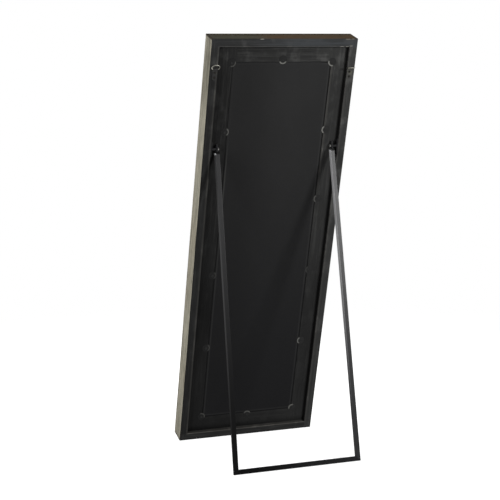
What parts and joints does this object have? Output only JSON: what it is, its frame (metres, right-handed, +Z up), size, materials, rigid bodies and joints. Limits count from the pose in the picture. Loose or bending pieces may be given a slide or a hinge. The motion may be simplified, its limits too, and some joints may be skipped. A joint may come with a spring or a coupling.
{
  "type": "full-length mirror",
  "caption": "Leaning floor mirror: deep mitred wooden box frame, glass held from behind by round washers, ring hangers and a square-tube stand that swings out of the back.",
  "frame": {"origin": "on the floor, under the middle of the bounding box, with the stand open", "axes": "+Z up, the glass faces -Y and leans back towards +Y, +X to the right of a person looking into the glass"},
  "size_m": [0.61, 0.689, 1.7158],
  "materials": {
    "weathered_wood": "dry weathered timber, dark paint on the back edges",
    "board_wood": "rough sawn boards, dark paint on the back",
    "mirror": "silvered glass",
    "backing": "smooth fibreboard with a dark face",
    "black_steel": "satin black paint, worn on the edges",
    "dark_steel": "dark oiled steel",
    "hanger_metal": "old nickel plate"
  },
  "bodies": {
    "frame": {"left_outer_rail": "weathered_wood", "right_outer_rail": "weathered_wood", "top_outer_rail": "weathered_wood", "bottom_outer_rail": "weathered_wood", "left_face_board": "board_wood", "right_face_board": "board_wood", "top_face_board": "board_wood", "bottom_face_board": "board_wood", "mirror_glass": "mirror", "backing_board": "backing", "retaining_washers": "black_steel", "retaining_screws": "black_steel", "left_hanger_strap": "hanger_metal", "right_hanger_strap": "hanger_metal", "hanger_screws": "hanger_metal", "left_pivot_plate": "black_steel", "right_pivot_plate": "black_steel", "pivot_plate_screws": "black_steel", "pivot_sleeves": "black_steel", "pivot_washers": "black_steel", "left_pivot_bolt": "dark_steel", "right_pivot_bolt": "dark_steel"},
    "stand": {"left_leg": "black_steel", "right_leg": "black_steel", "cross_bar": "black_steel", "left_leg_tongue": "black_steel", "right_leg_tongue": "black_steel"},
    "right_ring": {"right_hanger_ring": "hanger_metal"},
    "left_ring": {"left_hanger_ring": "hanger_metal"}
  },
  "joints": [
    {"name": "stand_fold", "type": "hinge", "parent": "frame", "child": "stand", "pos_m": [0, 0.13376, 1.26716], "axis": [1, 0, 0], "range_deg": [-26.9, 0]},
    {"name": "right_ring_swing", "type": "hinge", "parent": "frame", "child": "right_ring", "pos_m": [0.2835, 0.24404, 1.57832], "axis": [1, 0, 0], "range_deg": [-134, 36]},
    {"name": "left_ring_swing", "type": "hinge", "parent": "frame", "child": "left_ring", "pos_m": [-0.2835, 0.24404, 1.57832], "axis": [1, 0, 0], "range_deg": [-98, 72]}
  ]
}
